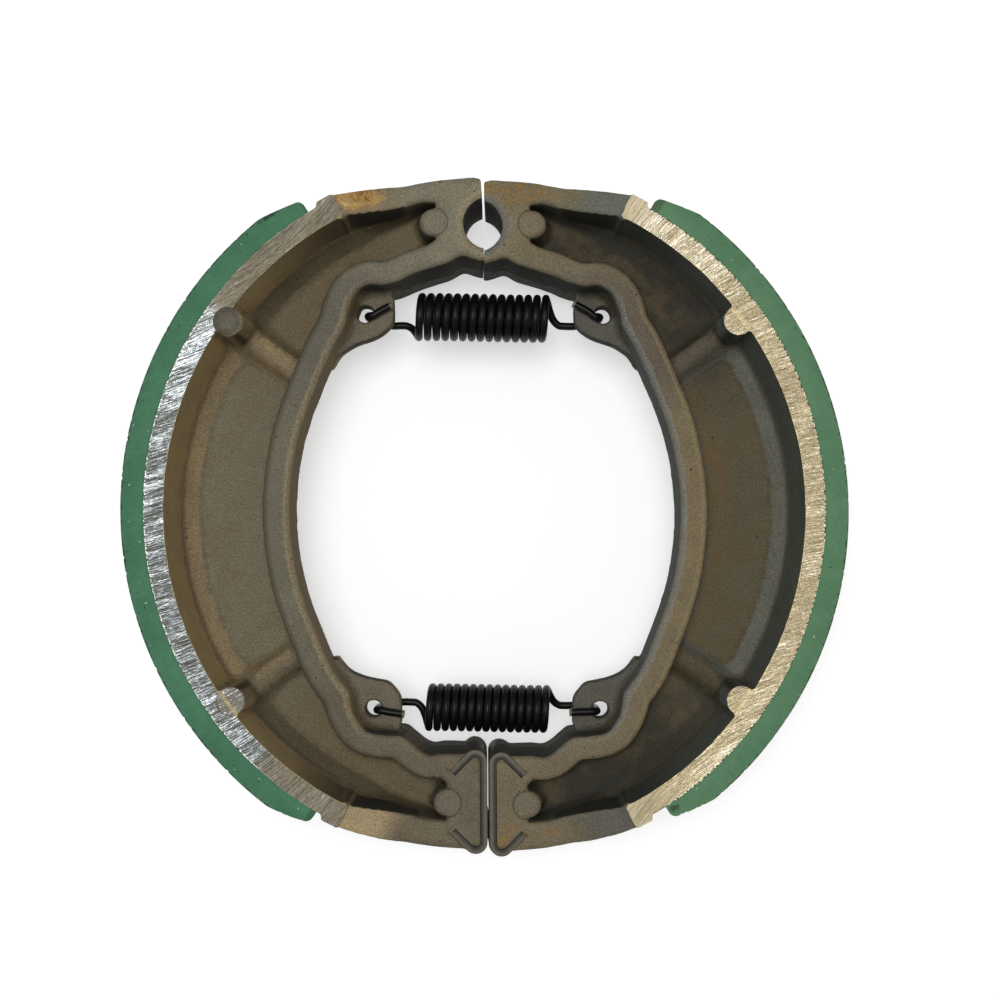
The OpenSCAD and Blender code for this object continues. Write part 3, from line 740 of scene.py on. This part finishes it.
def milled_edges(p, side, tones, out, r, around):
    """Torn strokes, bright in bundles, along the arcs that a passing cutter leaves.

    Returns the colour, the strokes, their fine part and where the metal is dull.
    """
    far = p.x - tones["cutter_x"]
    stroke = p.y - side * (tones["cutter_r"] ** 2 - far ** 2).most(1) ** 0.5
    fine = p.noise(1, 2, 0.7, at=p.vector(stroke / 0.24, p.x / 5, p.seed))
    wide = p.noise(1, 2, 0.5, at=p.vector(stroke / 1.5, p.x / 12, p.seed + 5))
    tiny = p.noise(1, 2, 0.7, at=p.vector(stroke / 0.2, p.x / 0.9, p.seed + 8))
    start, full = tones["lit_from"]
    zone = around.rise(start, full) * around.rise(full + 22, full + 12)
    torn = fine * 0.55 + wide * 0.25 + tiny * 0.4 + zone * tones["lit"]
    metal = p.mix(torn.rise(0.57, 0.66), "milled_grey", "milled")
    metal = p.mix(fine.rise(0.43, 0.36) * 0.85, metal, "milled_dark")
    metal = p.mix(torn.rise(0.66, 0.71), metal, "milled_bright")
    dull = around.rise(*tones["dull_top"]).most(around.rise(*tones["dull_end"]))
    worn = p.mix(torn.rise(0.53, 0.67), "dull_dark", "dull")
    worn = p.mix(fine.rise(0.40, 0.34) * 0.5, worn, "milled_dark")
    worn = p.mix(torn.rise(0.72, 0.76) * 0.6, worn, "milled_bright")
    metal = p.mix(dull, metal, worn)
    cast_pad = (out + ARC_X - RIB_PAD[0]).hypot(p.y + RIB_PAD[1])
    face = p.mix(torn.rise(0.65, 0.69), rgb(120, 116, 104), "milled_bright")
    metal = p.mix(cast_pad.rise(PAD_R + 0.1, PAD_R - 0.1) * tones["pad_grey"], metal, face)
    rim = abs(cast_pad - PAD_R).rise(0.22, 0.08)
    metal = p.mix(rim * tones["pad_grey"] * 0.6, metal, "milled_dark")
    # Burrs left along both edges of the milling
    teeth = p.noise(0.7, 3, 0.8, 33)
    burr = (r + teeth * 0.9).rise(61.02, 61.12) * abs(around).rise(60.0, 59.6)
    burr = burr * (1 - dull * tones["pad_grey"])
    chips = p.noise(0.5, 2, 0.6, 44)
    metal = p.mix(burr, metal, p.mix(chips.rise(0.47, 0.53), "burr_gap", "burr"))
    inner_burr = (r - teeth * 0.5).rise(57.2, 57.05) * r.rise(56.6, 56.8) * (1 - zone)
    metal = p.mix(inner_burr * 0.9, metal, "inner_burr")
    return metal, torn, fine, dull


def cast_aluminium(name, side, tones, stains, seed):
    """As-cast aluminium with torn, milled table edges, dull walls and a few stains, and painted
    light and shade on its walls, ramps, edges, ribs and hollows.
    """
    p = Paint(name, tones, seed)
    p.y = p.y + (DROP if side > 0 else 0)
    out = p.x * side
    r = (out + ARC_X).hypot(p.y)
    around = p.y.arctan2(out + ARC_X) * DEGREES
    h = abs(p.z - MID_Z)
    milled = h > TABLE_HALF - 0.02
    to_right, to_top, to_front = p.split(p.node("ShaderNodeNewGeometry", out="Normal"))
    up = abs(to_front)
    flat = up.rise(0.25, 0.6)
    hollow, turn = p.noted("hollow"), p.noted("turn")
    # Tones of floors, their sloping borders, ribs, faces, walls and the ramps beyond the table
    wander = p.noise(4, 4, 0.6)
    blotch = p.noise(6, 4, 0.6, 40)
    # The end bays' floors are darker, in part painted shade of their narrower pockets
    far_end = abs(around + wander * 12).rise(22, 50)
    floor = p.mix(far_end, "floor", "floor_end")
    floor = p.mix(blotch.rise(0.45, 0.62) * 0.6, floor, "floor_warm")
    middle = abs(around).rise(36.5, 34)
    slope = up.rise(0.988, 0.95) * h.rise(4.2, 3.4)
    floor = p.mix((r + wander * 3).rise(49.5, 45.5) * tones["inner"], floor, "floor_inner")
    # Painted highlight on the gentle slopes of the middle bay's floor, and painted shade at the
    # foot of the table's wall in the end bays
    floor = p.mix(slope * middle * (0.65 + 0.5 * blotch), floor, "slope_highlight")
    floor = p.mix(slope * (1 - middle) * r.rise(52.2, 54.6) * 0.7, floor, "foot")
    ear = (out + FLANGE_X).hypot(p.y)
    floor = p.mix(ear.rise(56, 55), floor, "ear")
    # Painted light: the upper rib's crest is lighter than the lower rib's, as light falls from the
    # top of the set
    crest = p.mix(p.y > 0, "rib_low", "rib_up")
    floor = p.mix(h.rise(2.9, 4.0), floor, crest)
    face = p.mix((p.y + wander * 10).rise(20, 30), "face", "face_up")
    face = p.mix((p.y + wander * 6).rise(42, 50), face, "anchor")
    face = p.mix((p.y + wander * 10).rise(-8, -34), face, "face_low")
    skin = p.mix(h.rise(5.0, 7.0), floor, face)
    # Painted light: walls that face right take a lighter, warmer tone and walls that face left a
    # darker, cooler one
    wall = p.mix(to_right.rise(-0.6, 0.6), "wall_lit_from_left", "wall_lit_from_right")
    # Painted shade: walls that face up or down the set are dark, darkest outside the pockets
    shaded_end_wall = p.mix(hollow.rise(0.1, 0.35), "shaded_outer_wall", "shaded_end_wall")
    wall = p.mix(abs(to_top).rise(0.55, 0.95), wall, shaded_end_wall)
    # Painted light: the table's wall is light and warm on the left shoe, where it faces right, and
    # dark grey on the right shoe, where it faces left
    wall = p.mix(r.rise(54, 55.5) * abs(around).rise(66, 44), wall, "table_wall")
    skin = p.mix(1 - flat, skin, wall)
    # Painted light: the ramps beyond the table are light on the left shoe, which faces the light,
    # and darker grey on the right shoe
    ramp = abs(around).rise(TABLE_A - 0.4, TABLE_A + 0.4) * (h + wander * 2).rise(9.0, 12.4) * flat
    skin = p.mix(ramp, skin, p.mix(p.y > 0, "ramp_low", "ramp"))
    # Sandy skin
    grain = p.noise(0.34, 5, 0.8, 7)
    shade = 0.86 + (grain.rise(0.36, 0.74) - 0.32) * (0.22 + flat * 0.58) + 0.5 * (blotch - 0.4)
    skin = p.times(skin, shade)
    # Painted highlights on rounded edges, warm where an edge faces right and cool where it faces
    # left, and painted shade in hollows and creases
    glint = p.noise(0.3, 2, 0.5, 90)
    sparkle = 0.25 + grain.rise(0.42, 0.66)
    rim = turn.rise(0.2, 0.6) * h.rise(5.5, 7.6) * sparkle
    rim = rim * (1 - ramp) * (1 - abs(p.y).rise(34, 44) * 0.8)
    rim_highlight = p.mix(to_right.rise(-0.25, 0.25), "rim_lit_from_left", "rim_lit_from_right")
    skin = p.mix(rim * 0.8 * (1 - abs(to_top).rise(0.5, 0.85)), skin, rim_highlight)
    # Painted highlight on the ribs' sides that face the top of the set
    on_rib = (abs(abs(around) - RIB_A) * r / DEGREES).rise(3.6, 2.6)
    on_rib = on_rib * h.rise(2.6, 3.6) * h.rise(6.4, 5.4) * r.rise(43, 45)
    ridge_highlight = turn.rise(0.1, 0.45) * on_rib * to_top.rise(-0.1, 0.5) * sparkle
    skin = p.mix(ridge_highlight * 0.6, skin, "rib_highlight")
    # Bright specks are painted glints
    bright = p.times(skin, (1.9, 1.9, 1.9))
    skin = p.mix(glint.rise(0.65, 0.71) * 0.5 * flat, skin, bright)
    # Painted shade: darker in hollows and creases
    crease = turn.rise(-0.42, -0.85) * h.rise(9, 8)
    hollow_shade = (hollow.rise(0.2, 0.8) * 0.8 + crease * 0.45) * (0.8 + 0.4 * (blotch - 0.5))
    skin = p.mix(hollow_shade * 0.85, skin, "hollow_shade")
    # Ragged line of the mould's parting on the walls towards the hub, painted in a light tone as a
    # highlight
    ridge = (h + p.noise(1.6, 4, 0.7, 3) * 0.8).rise(0.72, 0.5)
    ridge = ridge * (1 - flat) * r.rise(53.5, 52)
    skin = p.mix(ridge * 0.7 * p.noise(3, 3, 0.7, 60).rise(0.4, 0.55), skin, "glint")
    # Anchor seat and its bevel, and the ejector marks' outlines on the end blocks
    seat = (p.x + side * SEAT_X).hypot(p.y - ANCHOR_Y)
    skin = p.mix(seat.rise(SEAT_R + 0.2, SEAT_R + 0.05) * h.rise(8.1, 7.6), skin, "bore")
    # The seat's bevel is painted lighter than the face, and lighter still where it faces the cam
    # end: a painted highlight
    bevel = seat.rise(SEAT_R + SEAT_BEVEL + 0.12, SEAT_R + SEAT_BEVEL - 0.05) * h.rise(7.5, 7.75)
    sandy = 2.2 * grain - 0.3 + 0.3 * (0.5 - to_top)
    skin = p.mix(bevel * 0.7, skin, p.times("bevel", sandy))
    # Painted glints round the anchor seat
    spark = seat.rise(7.6, 5.9) * h.rise(7.5, 8.0) * glint.rise(0.57, 0.64)
    skin = p.mix(spark * 0.7, skin, "spark")
    # Painted shade of a groove round each ejector mark
    groove = 0
    coarse = 3 * grain - 0.5
    for x, y in END_PADS:
        mark = (out - abs(x)).hypot(p.y - y)
        ring = abs(mark + wander * 0.3 - PAD_R - 0.15).rise(0.24, 0.06)
        groove = groove + ring * h.rise(7.9, 8.3)
        on_pad = mark.rise(PAD_R, PAD_R - 0.3) * h.rise(7.6, 8.2)
        skin = p.mix(on_pad * 0.5, skin, p.times("pad", coarse))
    skin = p.mix(groove * 0.6, skin, "hollow_shade")
    for x, y, long, high, cover, colour in stains:
        core = (((p.x - x) / long) ** 2 + ((p.y - y) / high) ** 2).rise(1.8, 0.1)
        speck = p.noise(1.1, 6, 0.75, x) * 1.6
        patch = (speck + core * cover).rise(0.98, 1.14) * core.rise(0.02, 0.3)
        patch = patch * 0.75 * up.rise(0.2, 0.5) * h.rise(5, 8)
        skin = p.mix(patch, skin, p.times(colour, coarse))
    pits = p.noise(1.0, 1, 0.3, 17).rise(0.785, 0.80)
    skin = p.mix(pits * 0.8, skin, (0.012, 0.01, 0.008))
    metal, torn, fine, dull = milled_edges(p, side, tones, out, r, around)
    colour = p.mix(milled, skin, metal)
    relief = p.bump(grain * (1 - groove) + glint.rise(0.66, 0.72) * 0.3, 0.14)
    scored = p.bump(torn, 0.22)
    bumps = p.node("ShaderNodeMix", {"data_type": "VECTOR"}, {0: milled, 4: relief, 5: scored},
                   out=1)
    rough = (0.5 + grain * 0.25 + (1 - flat) * 0.2) * (1 - milled)
    rough = rough + milled * (0.32 + fine * 0.2 + dull * 0.2)
    metallic = flat * 0.25 + milled * (0.55 - 0.35 * dull)
    return p.finish(Base_Color=colour, Metallic=metallic, Roughness=rough, Normal=bumps,
                    Specular_IOR_Level=0.35)


def friction_material(name, side, tones, marks, seed):
    """Moulded friction material, scratched on its outer half and nicked along its rubbing edge."""
    p = Paint(name, tones, seed)
    p.y = p.y + (DROP if side > 0 else 0)
    out = p.x * side + ARC_X
    r = out.hypot(p.y)
    around = abs(p.y.arctan2(out) * DEGREES)
    mottle = p.noise(5, 4, 0.6)
    grain = p.noise(0.5, 4, 0.7, 30)
    colour = p.mix(mottle.rise(0.3, 0.7), "dark", "light")
    outer = (r + mottle * 1.2).rise(61.8, 64.6)
    way = p.vector((p.x + p.y * side) / 0.35, (p.y - p.x * side) / 5, seed)
    scratch = p.noise(1, 3, 0.6, at=way)
    colour = p.mix(outer * (0.1 + 0.4 * scratch.rise(0.45, 0.7)), colour, "deep")
    colour = p.mix((grain - 0.4) * 0.5, colour, "deep")
    nick = p.noise(1.1, 3, 0.7, 15)
    colour = p.mix((r + nick * 1.6).rise(65.4, 65.55) * 0.75, colour, "nick")
    colour = p.mix(around.rise(57.9, 58.4) * 0.45, colour, "nick")
    for x, y, long, high, angle in marks:
        cos, sin = math.cos(math.radians(angle)), math.sin(math.radians(angle))
        far_x, far_y = p.x - x, p.y - y
        along, over = (far_x * cos + far_y * sin) / long, (far_y * cos - far_x * sin) / high
        far = along.hypot(over)
        rag = p.noise(0.8, 5, 0.8, 70)
        colour = p.mix((far * 0.6 + rag * 2).rise(1.45, 1.2) * 0.75, colour, "nick")
    fleck = p.noise(0.9, 2, 0.6, 60)
    colour = p.mix(fleck.rise(0.72, 0.76) * 0.8, colour, (0.5, 0.55, 0.45))
    pore = p.noise(0.8, 2, 0.6, 80)
    colour = p.mix(pore.rise(0.70, 0.74) * 0.7, colour, (0.01, 0.014, 0.01))
    return p.finish(Base_Color=colour, Roughness=0.72 + grain * 0.2, Normal=p.bump(grain, 0.06),
                    Specular_IOR_Level=0.3)


def dark_steel(name):
    """Grey strip, lighter along its outer rim and dark where it meets the casting."""
    p = Paint(name)
    across = p.noted("across")
    grain = p.noise(0.6, 4, 0.65)
    end = abs(p.z - MID_Z).rise(BODY_HALF - 0.6, BODY_HALF - 0.2)
    wander = p.noise(2.5, 3, 0.6, 9) * 0.3
    colour = p.mix((across + wander).rise(0.42, 0.85), rgb(56, 55, 52), rgb(97, 91, 77))
    colour = p.mix((across + wander * 0.6).rise(0.97, 1.1) * 0.6, colour, rgb(132, 125, 105))
    colour = p.mix(1 - end, colour, rgb(40, 40, 35))
    colour = p.times(colour, 0.45 + 1.1 * grain)
    return p.finish(Base_Color=colour, Metallic=0.3, Roughness=0.5 + grain * 0.2,
                    Normal=p.bump(grain, 0.05), Specular_IOR_Level=0.3)


def black_wire(name, tips):
    """Black painted wire, with bare rusty metal where it is cut off."""
    p = Paint(name)
    grain = p.noise(0.8, 3, 0.6)
    colour = p.mix(grain, (0.002, 0.002, 0.002), (0.006, 0.006, 0.005))
    bare = 0
    for x, y, z in tips:
        bare = bare + ((p.x - x) ** 2 + (p.y - y) ** 2 + (p.z - z) ** 2).rise(0.72, 0.6)
    colour = p.mix(bare, colour, p.mix(grain, rgb(84, 72, 54), rgb(124, 112, 90)))
    return p.finish(Base_Color=colour, Roughness=0.28 + grain * 0.14, Normal=p.bump(grain, 0.01),
                    Specular_IOR_Level=0.16)


def pale_ground(name):
    """White to the eye and in reflections, and a mid grey to the light that bounces off it."""
    p = Paint(name)
    seen = reduce(Field.most, (p.node("ShaderNodeLightPath", out=f"Is {kind} Ray")
                               for kind in ("Camera", "Glossy", "Transmission")))
    colour = p.mix(seen, (0.22, 0.22, 0.22), (0.6, 0.6, 0.6))
    glow = p.mix(seen, (0, 0, 0), (1, 1, 1))
    return p.finish(Base_Color=colour, Roughness=0.9, Emission_Color=glow, Emission_Strength=0.55,
                    Specular_IOR_Level=0.0)


def lay_ground():
    """Round floor under the set, and the sky over it."""
    turn = np.linspace(0, 2 * math.pi, 96, endpoint=False)
    ring = [(4000 * math.cos(t), 4000 * math.sin(t), -0.02) for t in turn]
    floor = mesh_object("floor", ring, [list(range(96))])
    floor.data.materials.append(pale_ground("ground"))
    world = bpy.data.worlds.new("studio")
    bpy.context.scene.world = world
    world.use_nodes = True
    tree = world.node_tree
    plain = tree.nodes["Background"]
    plain.inputs["Color"].default_value = (0.96, 0.98, 1, 1)
    plain.inputs["Strength"].default_value = 0.3
    seen = tree.nodes.new("ShaderNodeBackground")
    seen.inputs["Color"].default_value = (1, 1, 1, 1)
    path, mixer = tree.nodes.new("ShaderNodeLightPath"), tree.nodes.new("ShaderNodeMixShader")
    tree.links.new(path.outputs["Is Camera Ray"], mixer.inputs[0])
    tree.links.new(plain.outputs[0], mixer.inputs[1])
    tree.links.new(seen.outputs[0], mixer.inputs[2])
    tree.links.new(mixer.outputs[0], tree.nodes["World Output"].inputs[0])


def lamp(name, place, size, power, colour=(1, 1, 1)):
    """Square soft light that faces the middle of the set."""
    light = bpy.data.lights.new(name, "AREA")
    light.shape, light.size, light.energy, light.color = "SQUARE", size, power, colour
    obj = add_object(name, light)
    obj.location = place
    obj.rotation_euler = (Vector((0, 0, 0.01)) - Vector(place)).to_track_quat("-Z", "Y").to_euler()


def place_camera():
    """Camera straight above the set, as close as a telephone is held."""
    lens = bpy.data.cameras.new("camera")
    camera = add_object("camera", lens)
    lens.sensor_width, lens.lens = 36, 46.89
    lens.shift_x, lens.shift_y = -0.0043, 0.041
    lens.clip_start, lens.clip_end = 0.01, 20
    camera.location = (3.4 * MM, -5.47 * MM, 254 * MM)
    camera.rotation_euler = (0, 0, -0.00775)
    bpy.context.scene.camera = camera


place_camera()
lay_ground()
lamp("overhead", (-0.08, 0.12, 1.1), 0.5, 6.6)
lamp("left_side", (-0.85, 0.05, 0.42), 0.5, 1.1, (0.88, 0.95, 1))
lamp("right_side", (0.85, 0.05, 0.42), 0.5, 1.7, (1, 0.94, 0.82))
view = bpy.context.scene.view_settings
view.view_transform = "Standard"

# Tones, and where they show, of the left and the right casting, painted light and shade among them
TONES = dict(
    floor=((129, 122, 99), (104, 96, 72)), floor_end=((118, 104, 77), (62, 58, 46)),
    floor_warm=((116, 104, 78), (96, 82, 58)), slope_highlight=((142, 124, 92), (108, 108, 97)),
    floor_inner=((120, 114, 92), (116, 94, 60)), inner=(0, 0.5), foot=((66, 58, 40), (50, 49, 40)),
    rib_highlight=((190, 168, 122), (126, 116, 94)), ear=((116, 108, 90), (98, 95, 84)),
    rib_up=((144, 128, 98), (98, 90, 74)), rib_low=((122, 110, 86), (88, 78, 58)),
    face=((112, 107, 89), (124, 110, 82)), face_up=((106, 101, 87), (104, 94, 77)),
    anchor=((130, 124, 104), (126, 114, 86)), face_low=((104, 96, 78), (120, 108, 84)),
    glint=((186, 176, 148), (172, 164, 138)), wall_lit_from_right=((116, 100, 72), (94, 82, 58)),
    wall_lit_from_left=((80, 78, 66), (76, 75, 65)), shaded_end_wall=((96, 88, 66), (78, 76, 62)),
    shaded_outer_wall=((44, 42, 31), (42, 42, 33)), table_wall=((156, 136, 97), (88, 90, 80)),
    ramp=((148, 130, 98), (112, 112, 102)), ramp_low=((178, 158, 122), (106, 104, 94)),
    rim_lit_from_right=((158, 142, 110), (154, 134, 96)), rim_lit_from_left=((84, 80, 66), (130, 134, 132)),
    hollow_shade=((52, 46, 30), (44, 41, 29)), bore=((78, 72, 62), (70, 68, 62)),
    bevel=((152, 140, 114), (112, 116, 114)), spark=((186, 168, 132), (150, 148, 134)),
    pad=((118, 109, 94), (116, 108, 90)), pad_grey=(0.9, 0),
    milled=((170, 177, 178), (208, 193, 158)), milled_grey=((98, 98, 92), (168, 154, 122)),
    milled_dark=((66, 65, 60), (140, 127, 100)), milled_bright=((248, 252, 255), (250, 243, 224)),
    lit_from=((20, 27), (38, 46)), lit=(0.04, 0.05), dull=((154, 145, 124), (218, 204, 170)),
    dull_dark=((106, 99, 84), (172, 158, 126)), dull_top=((34, 38), (58, 62)),
    dull_end=((-44, -50), (-54, -60)), burr=((242, 242, 236), (222, 212, 180)),
    burr_gap=((92, 92, 82), (58, 55, 44)), inner_burr=((166, 150, 110), (200, 184, 140)),
    cutter_x=(-74.5, 65), cutter_r=(63, 47.5))
RUST, DEEP_RUST = rgb(142, 108, 52), rgb(124, 80, 30)
GOLD, STRAW = rgb(186, 148, 82), rgb(224, 198, 134)
# Stains: place, half length across and up, cover, colour
STAINS = {
    "left": [(-22.2, 55.4, 4.8, 2.8, 0.45, GOLD), (-21.0, 55.8, 3.6, 1.9, 0.26, DEEP_RUST),
             (-24.0, 53.8, 2.2, 0.8, 0.16, STRAW), (-14.3, -56.2, 1.2, 0.9, 0.2, RUST),
             (-12.9, -57.1, 1.1, 0.6, 0.2, RUST)],
    "right": [(6.5, 57.6, 9.0, 2.7, 0.24, RUST), (4.2, 54.6, 3.4, 2.2, 0.16, RUST),
              (4.0, -57.8, 4.4, 2.6, 0.2, RUST), (11.2, -56.6, 2.0, 0.8, 0.2, RUST)]}
LININGS = {
    "left": dict(dark=(66, 114, 84), light=(76, 125, 94), deep=(48, 90, 66), nick=(34, 46, 30)),
    "right": dict(dark=(82, 123, 90), light=(94, 132, 98), deep=(62, 98, 70), nick=(48, 56, 36))}
# Scuffs on the linings: place, half length along and across, angle
LINING_MARKS = {"left": [(-36.9, 51.4, 3.2, 0.7, 36), (-31.6, 54.6, 1.0, 0.6, 30)],
                "right": [(32.6, -51.6, 1.6, 1.0, 30)]}
# Springs: hook hole, bend and cut tips of the hooks, run to the coil, and the coil itself
SPRINGS = {
    "upper_spring": dict(hole=UPPER_HOLE, leg=(0.55, -0.45), tips=((4.95, 1.45), (5.4, 2.0)),
                         runs=(-1.1, -0.95), middle=-0.3, axis_y=35.9, pitch=1.62, turns=14),
    "lower_spring": dict(hole=LOWER_HOLE, leg=(0.6, -0.2), tips=((5.7, -0.9), (5.7, -0.3)),
                         runs=(0.6, 0.24), middle=0.1, axis_y=-35.96, pitch=1.5, turns=14)}

castings = make_shoe("left_casting", -1, 3), make_shoe("right_casting", 1, 11)
steel = dark_steel("dark_steel")
for k, side, sign in ((0, "left", -1), (1, "right", 1)):
    tones = {key: pair[k] for key, pair in TONES.items()}
    cast = cast_aluminium(side + "_cast_aluminium", sign, tones, STAINS[side], 200 * k)
    lining = make_lining(side + "_friction_lining", sign, 20 + sign)
    friction = friction_material(side + "_friction", sign, LININGS[side], LINING_MARKS[side],
                                 50 * sign)
    plate = make_plate(side + "_steel_plate", sign)
    for piece, finish, node, slot in ((castings[k], cast, "_shoe", "casting"),
                                      (lining, friction, "_lining", "lining"),
                                      (plate, steel, "_cam_plate", "cam_plate")):
        piece.data.materials.append(finish)
        if sign > 0:
            piece.data.transform(Matrix.Translation((0, -DROP * MM, 0)))
        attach(piece, side + "_half")
        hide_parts(side + node)

paths = {node: spring_path(**sizes) for node, sizes in SPRINGS.items()}
black = black_wire("black_wire", [path[end] for path in paths.values() for end in (0, -1)])
for node, path in paths.items():
    spring = make_spring(node.replace("_spring", "_return_spring"), path, black)
    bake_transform(spring)
    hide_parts(node)
